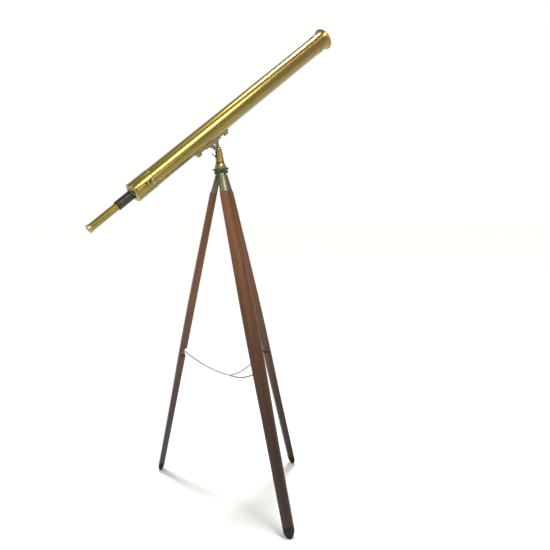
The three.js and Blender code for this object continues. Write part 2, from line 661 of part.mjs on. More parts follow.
put(tube, 'lock_screw', outOfSide(turned([
  [20.2, 0], [20.2, 2.5], [43.6, 2.5], [43.6, 3.8], [45.6, 3.8], [46.4, 6.2], [51.4, 6.6],
  [52.6, 5.4], [52.6, 0],
], 16)).translate(LOCK_X, 0, LOCK_Z), BRASS);

// ---------------------------------------------------------------- draw tube
const drawRear = TAIL_X - DRAW_SHOWN;
const drawFront = drawRear + DRAW_LENGTH;
const drawBore = DRAW_R - DRAW_WALL;
put(tube, 'draw_tube', tubeX(drawRear, drawFront, DRAW_R, drawBore, MEDIUM), DARK);
put(tube, 'draw_bush', alongX(ring([
  [drawRear - 1.6, EYEPIECE_R + GAP], [drawRear - 1.6, DRAW_R + 0.5],
  [drawRear - GAP, DRAW_R + 0.5], [drawRear - GAP, drawBore - GAP],
  [drawRear + 24, drawBore - GAP], [drawRear + 24, EYEPIECE_R + GAP],
], MEDIUM)), DARK);

function rack() {
  const top = -pinionR + 1;
  const root = -pinionR - 1.5;
  const shape = new THREE.Shape();
  shape.moveTo(RACK_START_X, -12.4);
  shape.lineTo(RACK_START_X, root);
  const first = Math.ceil((RACK_START_X + 1.2 - PINION_X) / rackPitch);
  const last = Math.floor((RACK_END_X - 1.2 - PINION_X) / rackPitch);
  for (let i = first; i <= last; i += 1) {
    const x = PINION_X + i * rackPitch;
    shape.lineTo(x - 0.95, root);
    shape.lineTo(x - 0.4, top);
    shape.lineTo(x + 0.4, top);
    shape.lineTo(x + 0.95, root);
  }
  shape.lineTo(RACK_END_X, root);
  shape.lineTo(RACK_END_X, -12.4);
  shape.closePath();
  const bar = plate(shape, 12).translate(0, -19.9, 0);
  return cut(bar, alongX(rod(DRAW_R + GAP, -500, -100, 48)));
}
put(tube, 'rack', rack(), BRASS);

put(tube, 'erector_cell', tubeX(drawFront - 22, drawFront - 4, drawBore - GAP, 15.3, 24), DARK);
put(tube, 'erector_lens', lens(drawFront - 16, 3, 1.6, 1.6, 15, SMALL), GLASS);

// ---------------------------------------------------------------- eyepiece
const eyeRim = TAIL_X - EYEPIECE_SHOWN;
const eyeTubeRear = eyeRim + 9;
put(tube, 'eyepiece_tube',
  tubeX(eyeTubeRear, eyeTubeRear + EYEPIECE_LENGTH, EYEPIECE_R, EYEPIECE_R - EYEPIECE_WALL, MEDIUM),
  BRASS);
put(tube, 'eyecup', alongX(ring([
  [eyeRim, 15], [eyeRim, EYECUP_R - 0.6], [eyeRim + 1, EYECUP_R], [eyeRim + 4, EYECUP_R - 0.3],
  [eyeRim + 9, 17.9], [eyeRim + 18, 17.3], [eyeRim + 18, EYEPIECE_R + GAP],
  [eyeTubeRear - GAP, EYEPIECE_R + GAP], [eyeTubeRear - GAP, 5.5], [eyeRim + 5, 5.5],
  [eyeRim + 3, 9],
], MEDIUM)), BRASS);
put(tube, 'eye_lens', lens(eyeTubeRear + 6, 2.4, 0, 2, 14.3, SMALL), GLASS);
put(tube, 'field_lens', lens(eyeTubeRear + 60, 2.4, 0, 2, 14.3, SMALL), GLASS);

// ---------------------------------------------------------------- origin
// The origin is on the floor, under the middle of the whole instrument.
const extent = new THREE.Box3().setFromObject(telescopeStand, true);
const middle = extent.getCenter(vec());
const part = new THREE.Group();
telescopeStand.position.set(-middle.x, -middle.y, -extent.min.z);
part.add(telescopeStand);

export default part;
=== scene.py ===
"""A brass refracting telescope on a folding mahogany tripod, finished around its CAD frame."""
import json
import math

import bpy
from mathutils import Matrix, Vector

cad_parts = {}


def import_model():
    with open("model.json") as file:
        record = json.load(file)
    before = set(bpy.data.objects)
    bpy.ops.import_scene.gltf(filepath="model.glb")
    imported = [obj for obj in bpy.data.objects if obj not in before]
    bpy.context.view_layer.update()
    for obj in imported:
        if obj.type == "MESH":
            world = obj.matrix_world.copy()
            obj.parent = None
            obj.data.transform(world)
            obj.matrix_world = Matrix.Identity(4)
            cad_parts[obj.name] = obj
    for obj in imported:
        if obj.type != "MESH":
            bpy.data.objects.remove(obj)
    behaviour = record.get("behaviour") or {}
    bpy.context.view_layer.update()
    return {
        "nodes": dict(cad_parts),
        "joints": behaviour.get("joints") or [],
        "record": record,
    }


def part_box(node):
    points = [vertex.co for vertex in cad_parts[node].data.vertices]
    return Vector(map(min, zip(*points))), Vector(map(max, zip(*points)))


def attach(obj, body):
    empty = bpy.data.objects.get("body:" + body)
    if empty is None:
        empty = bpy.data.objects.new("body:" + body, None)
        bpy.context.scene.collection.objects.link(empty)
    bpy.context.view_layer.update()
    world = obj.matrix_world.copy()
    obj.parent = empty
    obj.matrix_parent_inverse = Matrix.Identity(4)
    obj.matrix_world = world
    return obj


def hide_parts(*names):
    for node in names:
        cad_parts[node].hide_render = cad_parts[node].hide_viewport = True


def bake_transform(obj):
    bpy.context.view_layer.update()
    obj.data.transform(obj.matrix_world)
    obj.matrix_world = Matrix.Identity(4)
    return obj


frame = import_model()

MM = 0.001
GAP = 0.3
SIDES = 96

JOINTS = {j["name"]: j for j in frame["joints"]}
MOUNTS = {m["name"]: m for m in frame["record"]["mounts"]}
LEGS = ("front", "left", "back")

# ---------------------------------------------------------------- camera
PAN = math.radians(5.48)
PITCH = math.radians(-7.07)
ROLL = math.radians(-0.59)
CAMERA_AT = Vector((-0.0134, -2.5488, 1.3876))
SENSOR, LENS = 36, 36.94


def make_camera():
    forward = Vector((math.sin(PAN) * math.cos(PITCH), math.cos(PAN) * math.cos(PITCH),
                      math.sin(PITCH)))
    right = Vector((math.cos(PAN), -math.sin(PAN), 0))
    up = right.cross(forward)
    rolled_right = right * math.cos(ROLL) + up * math.sin(ROLL)
    rolled_up = up * math.cos(ROLL) - right * math.sin(ROLL)
    data = bpy.data.cameras.new("camera")
    data.sensor_width = SENSOR
    data.lens = LENS
    camera = bpy.data.objects.new("camera", data)
    turn = Matrix((rolled_right, rolled_up, -forward)).transposed().to_4x4()
    camera.matrix_world = Matrix.Translation(CAMERA_AT) @ turn
    bpy.context.scene.collection.objects.link(camera)
    bpy.context.scene.camera = camera


make_camera()

# ---------------------------------------------------------------- frames, from the joints
AXIS_HEIGHT = 88.6          # tube axis above the tilting pivot
PIVOT_HEIGHT = 103          # pivot above the leg hinges
LEG_LENGTH = 1597.5
FOOT_X = 3                  # foot tip, outward of the hinge pin


def basis(x, y, z, origin):
    turn = Matrix((x, y, z)).transposed().to_4x4()
    return Matrix.Translation(origin) @ turn


HEAD_Z = Vector(JOINTS["azimuth"]["axis"]).normalized()
SIDE_Y = -Vector(JOINTS["altitude"]["axis"]).normalized()
TUBE_X = -Vector(JOINTS["draw_slide"]["axis"]).normalized()
PIVOT = Vector(JOINTS["altitude"]["pos_m"])
TUBE_Z = TUBE_X.cross(SIDE_Y)

TURNTABLE = basis(SIDE_Y.cross(HEAD_Z), SIDE_Y, HEAD_Z, PIVOT - HEAD_Z * PIVOT_HEIGHT * MM)
CRADLE = basis(TUBE_X, SIDE_Y, TUBE_Z, PIVOT)
TUBE = CRADLE @ Matrix.Translation((0, 0, AXIS_HEIGHT * MM))


def leg_frame(name):
    """Origin on the hinge pin, Z up the leg, X outward."""
    joint = JOINTS[f"leg_{name}_fold"]
    pin = Vector(joint["pos_m"])
    y = -Vector(joint["axis"]).normalized()
    up = (pin - Vector(MOUNTS[f"foot_{name}"]["pos_m"])).normalized()
    lean = math.atan2(FOOT_X, LEG_LENGTH)
    z = up * math.cos(lean) + y.cross(up) * math.sin(lean)
    return basis(y.cross(z), y, z, pin)


LEG_FRAMES = {name: leg_frame(name) for name in LEGS}

ALONG_X = Matrix.Rotation(math.pi / 2, 4, "Y")        # local Z to the tube's X
TO_SIDE = Matrix.Rotation(math.pi / 2, 4, "X")        # local Z to -Y, the knob side


# ---------------------------------------------------------------- node materials
class Nodes:
    """A small helper that adds nodes to a material and wires them."""

    def __init__(self, name):
        self.material = bpy.data.materials.new(name)
        self.material.use_nodes = True
        self.tree = self.material.node_tree
        self.shader = self.tree.nodes["Principled BSDF"]
        self.coords = self.add("ShaderNodeTexCoord").outputs["Object"]

    def add(self, kind, **values):
        node = self.tree.nodes.new(kind)
        for key, value in values.items():
            setattr(node, key, value)
        return node

    def link(self, source, target):
        self.tree.links.new(source, target)

    def scaled(self, scale):
        node = self.add("ShaderNodeMapping")
        node.inputs["Scale"].default_value = scale
        self.link(self.coords, node.inputs["Vector"])
        return node.outputs["Vector"]

    def noise(self, scale, detail=3.0, stretch=(1, 1, 1), roughness=0.55, distortion=0.0):
        node = self.add("ShaderNodeTexNoise")
        node.inputs["Scale"].default_value = scale
        node.inputs["Detail"].default_value = detail
        node.inputs["Roughness"].default_value = roughness
        node.inputs["Distortion"].default_value = distortion
        self.link(self.scaled(stretch), node.inputs["Vector"])
        return node.outputs["Fac"]

    def ramp(self, source, *stops):
        node = self.add("ShaderNodeValToRGB")
        elements = node.color_ramp.elements
        while len(elements) < len(stops):
            elements.new(0.5)
        for element, (place, colour) in zip(elements, stops):
            element.position = place
            element.color = (*colour, 1)
        self.link(source, node.inputs["Fac"])
        return node.outputs["Color"]

    def value(self, source, low, high, start=0.3, end=0.7):
        node = self.add("ShaderNodeMapRange")
        for key, number in (("From Min", start), ("From Max", end), ("To Min", low),
                            ("To Max", high)):
            node.inputs[key].default_value = number
        self.link(source, node.inputs["Value"])
        return node.outputs["Result"]

    def mix(self, factor, first, second):
        node = self.add("ShaderNodeMix", data_type="RGBA")
        for key, source in ((0, factor), (6, first), (7, second)):
            if isinstance(source, (int, float)):
                node.inputs[key].default_value = source
            elif isinstance(source, tuple):
                node.inputs[key].default_value = (*source, 1)
            else:
                self.link(source, node.inputs[key])
        return node.outputs[2]

    def along(self, axis, low, high):
        """0 to 1 between two places along a local axis."""
        split = self.add("ShaderNodeSeparateXYZ")
        self.link(self.coords, split.inputs[0])
        return self.value(split.outputs[axis], 0, 1, low, high)

    def bump(self, source, strength, distance):
        node = self.add("ShaderNodeBump")
        node.inputs["Strength"].default_value = strength
        node.inputs["Distance"].default_value = distance
        self.link(source, node.inputs["Height"])
        self.link(node.outputs["Normal"], self.shader.inputs["Normal"])

    def colour(self, source):
        self.link(source, self.shader.inputs["Base Color"])

    def rough(self, source):
        self.link(source, self.shader.inputs["Roughness"])

    def fixed(self, **sockets):
        for key, value in sockets.items():
            self.shader.inputs[key.replace("_", " ")].default_value = value


def brass(name, light, deep, stain, rough, stained, polish=(1, 1, 1), warm=None):
    """Aged brass: cloudy tarnish, small stains, fine polishing lines.

    warm is (axis, from, to) and a colour that patches turn to along that axis.
    """
    n = Nodes(name)
    clouds = n.noise(9, 5, roughness=0.6, distortion=0.6)
    specks = n.noise(24, 2, roughness=0.5)
    lines = n.noise(420, 2, polish)
    base = n.mix(n.value(clouds, 0, 1, 0.35, 0.68), light, deep)
    if warm:
        place = n.along(*warm[0])
        base = n.mix(n.value(n.noise(3.2, 3), 0, 1, 0.35, 0.65), base, n.mix(place, base, warm[1]))
    base = n.mix(n.value(specks, 0, stained, 0.58, 0.72), base, stain)
    n.colour(base)
    wear = n.mix(0.15, n.value(clouds, rough[0], rough[1]), n.value(specks, rough[0], rough[1]))
    n.rough(wear)
    n.bump(n.mix(0.3, lines, specks), 0.02, 0.00003)
    n.fixed(Metallic=1.0, Coat_Weight=0.7, Coat_IOR=1.5, Coat_Roughness=0.18)
    return n.material


def mahogany(name, light, mid, dark, foot):
    """French-polished wood: long grain, pores, and painted shade that darkens it towards the foot."""
    n = Nodes(name)
    grain = n.noise(30, 5, (1, 1, 0.035), 0.62, 0.9)
    pores = n.noise(260, 3, (1, 1, 0.03), 0.7)
    cloud = n.noise(4, 3, (1, 1, 0.4))
    colour = n.ramp(grain, (0.28, dark), (0.5, mid), (0.72, light))
    colour = n.mix(n.value(pores, 0.0, 0.65, 0.52, 0.70), colour, dark)
    colour = n.mix(n.value(cloud, 0.0, 0.35, 0.4, 0.7), colour, mid)
    # Painted shade: down the leg the wood blends into the foot colour, which stands in for the shadow on
    # the lower legs.
    colour = n.mix(n.along(2, -0.30, -1.25), colour, n.mix(0.88, colour, foot))
    n.colour(colour)
    n.rough(n.mix(0.5, n.value(cloud, 0.24, 0.42), n.value(pores, 0.26, 0.5)))
    n.bump(n.mix(0.5, pores, grain), 0.16, 0.0006)
    n.fixed(Coat_Weight=0.12, Coat_Roughness=0.25, Specular_IOR_Level=0.35)
    return n.material


def dark_metal(name, light, dark, rough, metallic, pitted=0.25):
    """Blackened or cast metal, rubbed lighter in places."""
    n = Nodes(name)
    rubbed = n.noise(14, 5, roughness=0.6, distortion=0.4)
    pits = n.noise(240, 3, roughness=0.6)
    n.colour(n.mix(n.value(rubbed, 0, 1, 0.38, 0.7), dark, light))
    n.rough(n.mix(0.5, n.value(rubbed, rough[1], rough[0]), n.value(pits, rough[0], rough[1])))
    n.bump(pits, pitted, 0.0005)
    n.fixed(Metallic=metallic)
    return n.material


def glass(name):
    n = Nodes(name)
    smears = n.noise(30, 3)
    n.colour(n.ramp(smears, (0.3, (0.86, 0.93, 0.92)), (0.7, (0.92, 0.97, 0.95))))
    n.rough(n.value(smears, 0.01, 0.05))
    n.fixed(Transmission_Weight=1.0, IOR=1.5)
    return n.material


def leather(name):
    n = Nodes(name)
    creases = n.noise(300, 4, roughness=0.65)
    n.colour(n.ramp(creases, (0.3, (0.012, 0.009, 0.007)), (0.7, (0.035, 0.026, 0.02))))
    n.rough(n.value(creases, 0.5, 0.8))
    n.bump(creases, 0.4, 0.0005)
    return n.material


GOLD = (0.285, 0.215, 0.040)
OLIVE = (0.215, 0.17, 0.032)
STAIN = (0.10, 0.07, 0.03)
TUBE_BRASS = brass("tube_brass", GOLD, OLIVE, STAIN, (0.20, 0.25), 0.12, (1, 0.05, 0.05),
                   ((2, 0.05, 0.75), (0.31, 0.185, 0.05)))
FITTING_BRASS = brass("fitting_brass", (0.38, 0.31, 0.12), OLIVE, STAIN, (0.20, 0.28), 0.15)
TARNISHED = brass("tarnished_brass", (0.175, 0.175, 0.095), (0.125, 0.125, 0.068),
                  (0.08, 0.075, 0.045), (0.36, 0.46), 0.10)
CAST_BRASS = brass("cast_brass", (0.30, 0.235, 0.13), (0.16, 0.115, 0.06),
                   (0.06, 0.045, 0.025), (0.22, 0.32), 0.2)
BRONZE = dark_metal("dark_bronze", (0.15, 0.145, 0.09), (0.055, 0.055, 0.036), (0.3, 0.5), 0.95)
BLACKENED = dark_metal("blackened_brass", (0.075, 0.072, 0.054), (0.035, 0.034, 0.027),
                       (0.26, 0.36), 0.95, 0.02)
STEEL = dark_metal("old_steel", (0.40, 0.38, 0.34), (0.17, 0.15, 0.13), (0.3, 0.5), 1.0, 0.15)
CHAIN_STEEL = dark_metal("chain_steel", (0.16, 0.15, 0.135), (0.05, 0.046, 0.04), (0.4, 0.6),
                         0.9, 0.1)
IRON = dark_metal("black_iron", (0.040, 0.038, 0.030), (0.012, 0.012, 0.010), (0.4, 0.62), 0.8, 0.5)
# The last colour is painted shade: the near-black that the lower legs darken to.
WOOD = mahogany("mahogany", (0.27, 0.115, 0.042), (0.165, 0.062, 0.024), (0.058, 0.022, 0.011),
                (0.012, 0.007, 0.005))
GLASS = glass("coated_glass")
LEATHER = leather("greased_leather")


# ---------------------------------------------------------------- mesh helpers
SHARP = math.radians(32)


def mesh_object(name, vertices, faces):
    """An object in the scene, from vertices in millimetres."""
    mesh = bpy.data.meshes.new(name)
    mesh.from_pydata([Vector(v) * MM for v in vertices], [], faces)
    made = bpy.data.objects.new(name, mesh)
    bpy.context.scene.collection.objects.link(made)
    return made


def add_mesh(name, place, vertices, faces, material, body, nodes, slot, bevel=0.35, sharp=SHARP):
    """A piece in its own local frame, placed there, with its body and CAD nodes; slot is not used."""
    piece = mesh_object(name, vertices, faces)
    mesh = piece.data
    mesh.validate()
    mesh.materials.append(material)
    piece.matrix_world = place
    mesh.polygons.foreach_set("use_smooth", [True] * len(mesh.polygons))
    mesh.set_sharp_from_angle(angle=sharp)
    if bevel:
        edge = piece.modifiers.new("edges", "BEVEL")
        edge.width = bevel * MM
        edge.segments = 2
        edge.limit_method = "ANGLE"
        edge.angle_limit = SHARP
        edge.harden_normals = True
    bpy.context.view_layer.update()
    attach(piece, body)
    if nodes:
        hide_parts(*nodes)
    return piece


def lathe(points, sides=SIDES):
    """Vertices and faces of a turned piece about Z, from [height, radius] points.

    The outline ends on the axis where it starts there, and otherwise closes on itself.
    """
    vertices = []
    rings = []
    for height, radius in points:
        if radius == 0:
            rings.append([len(vertices)] * sides)
            vertices.append((0, 0, height))
        else:
            start = len(vertices)
            rings.append(list(range(start, start + sides)))
            for i in range(sides):
                angle = 2 * math.pi * i / sides
                vertices.append((radius * math.cos(angle), radius * math.sin(angle), height))
    if points[0][1] != 0:
        rings.append(rings[0])
    faces = []
    for low, high in zip(rings, rings[1:]):
        for i in range(sides):
            j = (i + 1) % sides
            corners = [low[i], low[j], high[j], high[i]]
            unique = [c for k, c in enumerate(corners) if c not in corners[:k]]
            if len(unique) > 2:
                faces.append(unique)
    area = sum(a[1] * b[0] - b[1] * a[0] for a, b in zip(points, points[1:] + points[:1]))
    if area > 0:
        faces = [face[::-1] for face in faces]
    return vertices, faces


def turned(name, place, points, material, body, nodes, slot, bevel=0.35, sides=SIDES):
    return add_mesh(name, place, *lathe(points, sides), material, body, nodes, slot, bevel)


def rod(radius, low, high, sides=32):
    return lathe([[low, 0], [low, radius], [high, radius], [high, 0]], sides)


def spline(points, steps):
    """A smooth outline through [height, radius] points (Catmull-Rom)."""
    ends = [points[0], *points, points[-1]]
    smooth = []
    for before, here, after, beyond in zip(ends, ends[1:], ends[2:], ends[3:]):
        for i in range(steps):
            t = i / steps
            smooth.append([0.5 * (2 * q + (r - p) * t + (2 * p - 5 * q + 4 * r - s) * t * t
                                  + (3 * q - p - 3 * r + s) * t ** 3)
                           for p, q, r, s in zip(before, here, after, beyond)])
    smooth.append(list(points[-1]))
    return smooth


def bead(centre, radius, reach, steps=8):
    """A half-round bead standing on a tube of this radius, from low height to high."""
    return [[centre - reach * math.cos(math.pi * i / steps),
             radius + reach * math.sin(math.pi * i / steps)] for i in range(steps + 1)]


def plate(outline, thickness):
    """Vertices and faces of a flat piece: outline in XZ, centred on Y."""
    count = len(outline)
    half = thickness / 2
    vertices = [(x, -half, z) for x, z in outline] + [(x, half, z) for x, z in outline]
    faces = [list(range(count)), list(range(2 * count - 1, count - 1, -1))]
    for i in range(count):
        j = (i + 1) % count
        faces.append([j, i, i + count, j + count])
    area = sum(a[0] * b[1] - b[0] * a[1] for a, b in zip(outline, outline[1:] + outline[:1]))
    if area < 0:
        faces = [face[::-1] for face in faces]
    return vertices, faces


def arc(cx, cz, radius, start, end, steps=16):
    return [(cx + radius * math.cos(math.radians(start + (end - start) * i / steps)),
             cz + radius * math.sin(math.radians(start + (end - start) * i / steps)))
            for i in range(steps + 1)]


def curve_to(p, control, q, steps=16):
    """A quadratic curve from p to q, without p."""
    points = []
    for i in range(1, steps + 1):
        t = i / steps
        points.append(tuple((1 - t) ** 2 * a + 2 * t * (1 - t) * c + t * t * b
                            for a, c, b in zip(p, control, q)))
    return points


def merged(*parts):
    """Several vertex and face lists as one."""
    vertices, faces = [], []
    for some_vertices, some_faces in parts:
        shift = len(vertices)
        vertices += some_vertices
        faces += [[i + shift for i in face] for face in some_faces]
    return vertices, faces


def moved(part, matrix):
    vertices, faces = part
    return [tuple(matrix @ Vector(v)) for v in vertices], faces


def swept_faces(steps, rim):
    """Faces of a closed tube that is this many rings of this many vertices."""
    faces = []
    for i in range(steps):
        for k in range(rim):
            a, b = i * rim + k, i * rim + (k + 1) % rim
            c, d = ((i + 1) % steps) * rim + (k + 1) % rim, ((i + 1) % steps) * rim + k
            faces.append([a, d, c, b])
    return faces


def torus_part(major, minor, steps=40, rim=12):
    vertices = []
    for i in range(steps):
        angle = 2 * math.pi * i / steps
        out = Vector((math.cos(angle), math.sin(angle), 0))
        for k in range(rim):
            turn = 2 * math.pi * k / rim
            vertices.append(tuple(out * (major + minor * math.cos(turn))
                                  + Vector((0, 0, minor * math.sin(turn)))))
    return vertices, swept_faces(steps, rim)


def cutter(vertices, faces, place):
    tool = mesh_object("cutter", vertices, faces)
    tool.matrix_world = place
    return tool


def box_part(x0, x1, y0, y1, z0, z1):
    corners = [(x, y, z) for x in (x0, x1) for y in (y0, y1) for z in (z0, z1)]
    faces = [[0, 1, 3, 2], [4, 6, 7, 5], [0, 4, 5, 1], [2, 3, 7, 6], [0, 2, 6, 4], [1, 5, 7, 3]]
    return corners, faces


def carve(piece, *tools):
    """Cuts closed shapes out of a piece, before its bevel, and applies the result."""
    for tool in tools:
        cut = piece.modifiers.new("cut", "BOOLEAN")
        cut.operation = "DIFFERENCE"
        cut.solver = "EXACT"
        cut.object = tool
        while piece.modifiers[0] != cut:
            bpy.context.view_layer.objects.active = piece
            bpy.ops.object.modifier_move_up(modifier=cut.name)
        with bpy.context.temp_override(object=piece, active_object=piece):
            bpy.ops.object.modifier_apply(modifier=cut.name)
        bpy.data.objects.remove(tool)
    piece.data.polygons.foreach_set("use_smooth", [True] * len(piece.data.polygons))
    piece.data.set_sharp_from_angle(angle=SHARP)


# ---------------------------------------------------------------- chains and ring
LINK_PITCH = 7.6
LINK_WIRE = 1.15
LINK_HALF = 3.4             # from the link's middle to the middle of its wire at an end
LINK_WIDE = 2.3             # from the link's middle to the middle of its wire at a side
RING_R = 6.5
SAG = {"left": 15, "front": 16, "back": 24}
EYE_DROP = 895              # chain eye, below the hinge pin
EYE_RING, EYE_OUT = 3.4, 5  # radius of the eye's ring, and its middle from the notch floor
WOOD_GAP = 1.1              # half the gap between closed legs
APEX = WOOD_GAP / math.sin(math.pi / 3)
NOTCH_DEPTH = 12
HINGE_R = 15                # hinge pin, from the axis of the closed legs
NOTCH_FLOOR = APEX + NOTCH_DEPTH - HINGE_R


def link_part(centre, along, side):
    """One oval link: wire swept round a stadium in the plane of along and side."""
    normal = along.cross(side)
    steps, rim = 14, 6
    straight = LINK_HALF - LINK_WIDE
    vertices = []
    for i in range(steps):
        angle = 2 * math.pi * i / steps
        shift = straight if math.cos(angle) > 0 else -straight
        out = along * math.cos(angle) + side * math.sin(angle)
        middle = centre + out * LINK_WIDE + along * shift
        for k in range(rim):
            turn = 2 * math.pi * k / rim
            vertices.append(middle + (out * math.cos(turn) + normal * math.sin(turn)) * LINK_WIRE)
    return vertices, swept_faces(steps, rim)


def ring_middle():
    low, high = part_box("chain_ring")
    return (Vector(low) + Vector(high)) / 2 / MM


def chain(name):
    """Links set by turns flat and on edge, along a sagging curve from a leg's eye to the ring."""
    ring = ring_middle()
    eye = LEG_FRAMES[name] @ (Vector((NOTCH_FLOOR - EYE_OUT - EYE_RING, 0, -EYE_DROP)) * MM) / MM
    inward = ring - eye
    inward.z = 0
    inward.normalize()
    start = eye + inward * 1.5
    end = ring - inward * (RING_R + 0.6)
    middle = start.lerp(end, 0.5) - Vector((0, 0, 2 * SAG[name]))
    fine = [start * (1 - t) ** 2 + middle * (2 * t * (1 - t)) + end * t * t
            for t in (i / 400 for i in range(401))]
    lengths = [0.0]
    for a, b in zip(fine, fine[1:]):
        lengths.append(lengths[-1] + (b - a).length)
    count = round(lengths[-1] / LINK_PITCH)
    pitch = lengths[-1] / count
    parts = []
    at = 0
    for i in range(count):
        wanted = (i + 0.5) * pitch
        while lengths[at + 1] < wanted:
            at += 1
        along = (fine[at + 1] - fine[at]).normalized()
        level = along.cross(Vector((0, 0, 1))).normalized()
        side = level if i % 2 else level.cross(along)
        parts.append(link_part(fine[at], along, side))
    piece = mesh_object(f"spreader_chain_{name}", *merged(*parts))
    piece.data.polygons.foreach_set("use_smooth", [True] * len(piece.data.polygons))
    piece.data.materials.append(CHAIN_STEEL)
    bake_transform(piece)
    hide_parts(f"chain_{name}")


for name in LEGS:
    chain(name)
add_mesh("spreader_ring", Matrix.Translation(ring_middle() * MM), *torus_part(RING_R, 1.3), STEEL,
         "head", ["chain_ring"], "steel", 0)

# ---------------------------------------------------------------- main tube
TAIL = -434.7
MOUTH = 811.4
TUBE_R = 41
BORE_R = 39.5
BELL_START = MOUTH - 66
TUBE_FRONT = BELL_START + 24
BELL_RIM = 51
SLEEVE_R = TUBE_R + GAP + 1.3        # outside of the sleeves at both ends of the tube
ON_TUBE = TUBE @ ALONG_X
BRASS_SLOT = "lacquered_brass"

turned("tube_barrel", ON_TUBE, [[TAIL, BORE_R], [TAIL, TUBE_R], [TUBE_FRONT, TUBE_R],
                                [TUBE_FRONT, BORE_R]],
       TUBE_BRASS, "telescope", ["main_tube"], BRASS_SLOT)


def bell_piece():
    """A short sleeve that opens along part of an ellipse to a rolled rim."""
    opening, full, roll_r = 0.93, 0.736, 1.4    # full is about 1 - sqrt(1 - opening)
    start = TUBE_FRONT + 2
    flare = BELL_RIM - 0.9 - SLEEVE_R
    outside = []
    for i in range(21):
        t = i / 20
        rise = 1 - math.sqrt(1 - opening * t * t)
        outside.append([start + (MOUTH - start) * t, SLEEVE_R + flare * rise / full])
    inside = [[x, r - 2.2] for x, r in outside[::-1]]
    outside[-1] = [MOUTH - 2.6, outside[-2][1] + 1.1]
    inside[0] = [MOUTH - 1.2, BELL_RIM - 3.4]
    roll = [[MOUTH - roll_r + roll_r * math.sin(a), BELL_RIM - roll_r + roll_r * math.cos(a)]
            for a in (math.radians(15 * k) for k in range(-3, 13))]
    turned("bell", ON_TUBE, [
        [BELL_START, TUBE_R + GAP], [BELL_START, SLEEVE_R - 0.5], [BELL_START + 0.5, SLEEVE_R],
        [BELL_START + 12, SLEEVE_R],
        *outside, *roll, *inside, [TUBE_FRONT + 1, TUBE_R - 1], [TUBE_FRONT + 1, TUBE_R + GAP],
    ], TUBE_BRASS, "telescope", ["objective_bell"], BRASS_SLOT, 0)


bell_piece()

# ---------------------------------------------------------------- focuser end
FOCUSER_END = TAIL + 98
PINION = TAIL + 83
LOCK_X = TAIL + 62
LOCK_Z = 7

turned("focus_sleeve", ON_TUBE, [
    [TAIL, TUBE_R + GAP], *bead(TAIL + 2, SLEEVE_R - 0.4, 1.5), [TAIL + 4.6, SLEEVE_R],
    [TAIL + 8, SLEEVE_R], [TAIL + 8.3, SLEEVE_R - 0.4], [TAIL + 9, SLEEVE_R - 0.4],
    [TAIL + 9.3, SLEEVE_R],
    [FOCUSER_END - 5.4, SLEEVE_R], *bead(FOCUSER_END - 2.4, SLEEVE_R - 0.2, 1.5),
    [FOCUSER_END, SLEEVE_R - 0.3], [FOCUSER_END, TUBE_R + GAP],
], TUBE_BRASS, "telescope", ["focuser_sleeve"], BRASS_SLOT, 0.15)

cap = turned("end_cap", ON_TUBE, [
    [TAIL - 12.7, 20.3], [TAIL - 12.7, 25.6],
    *[[TAIL - 10.9 + 1.8 * math.sin(a), 25.9 + 1.8 * math.cos(a)]
      for a in (math.radians(20 * k) for k in range(-4, 5))],
    [TAIL - 8.8, 27.2], [TAIL - 8.4, 30], [TAIL - 7.8, 33], *spline([
        [TAIL - 6.6, 35.2], [TAIL - 5.6, 38], [TAIL - 4.2, 40.4], [TAIL - 2.2, 41.9],
        [TAIL - GAP, 42.4]], 5),
    [TAIL - GAP, 39.2], [TAIL + 10, 39.2], [TAIL + 10, 23.8], [TAIL - 3, 23.8], [TAIL - 3, 20.3],
], FITTING_BRASS, "telescope", ["tail_cap"], BRASS_SLOT, 0.15)
carve(cap, cutter(*box_part(TAIL - 20, TAIL + 20, -27, -15, -13.4, -4.2), TUBE))

AT_PINION = TUBE @ Matrix.Translation((PINION * MM, 0, 0)) @ TO_SIDE
AT_LOCK = TUBE @ Matrix.Translation((LOCK_X * MM, 0, LOCK_Z * MM)) @ TO_SIDE


def knurled(points, low, high, depth, notches):
    """A turned part whose vertices between two heights are pressed in between the ridges."""
    sides = notches * 4
    vertices, faces = lathe(points, sides)
    shaped = []
    for x, y, z in vertices:
        radius = math.hypot(x, y)
        if low <= z <= high and radius > 1:
            step = round(math.atan2(y, x) / (2 * math.pi) * sides) % 4
            pressed = 1 - (depth / radius if step in (0, 1) else 0)
            x, y = x * pressed, y * pressed
        shaped.append((x, y, z))
    return shaped, faces


bush = turned("knob_bush", AT_PINION, [
    [40.6, 3.4], [40.6, 8.6], [45, 8.2], [46.2, 7.2], [47, 6.6], [47, 3.4],
], FITTING_BRASS, "telescope", ["pinion_bush"], BRASS_SLOT, 0.2, 48)
carve(bush, cutter(*moved(rod(SLEEVE_R + 0.2, PINION - 40, PINION + 40, SIDES), ALONG_X), TUBE))

add_mesh("knob", AT_PINION, *knurled([
    [47.4, 3.2], [47.4, 6.0], [49.4, 5.6], [50.2, 7], [50.9, 10.8], [51.6, 11.9], [52.0, 12],
    [56.6, 12], [57.2, 11.8], [57.9, 10.6], [58.3, 8.4], [57.9, 7.6], [58.1, 5.6], [58.6, 3.2],
], 51.5, 57.0, 0.45, 36), FITTING_BRASS, "focus", ["focus_knob"], BRASS_SLOT, 0)
add_mesh("lock_knob", AT_LOCK, *knurled([
    [20.2, 0], [20.2, 2.5], [43.6, 2.5], [43.8, 3.7], [45.4, 3.7], [46.0, 5.6], [46.6, 6.4],
    [51.2, 6.5], [51.8, 6.2], [52.4, 5], [52.6, 0],
], 46.5, 51.3, 0.35, 20), FITTING_BRASS, "lock", ["lock_screw"], BRASS_SLOT, 0)

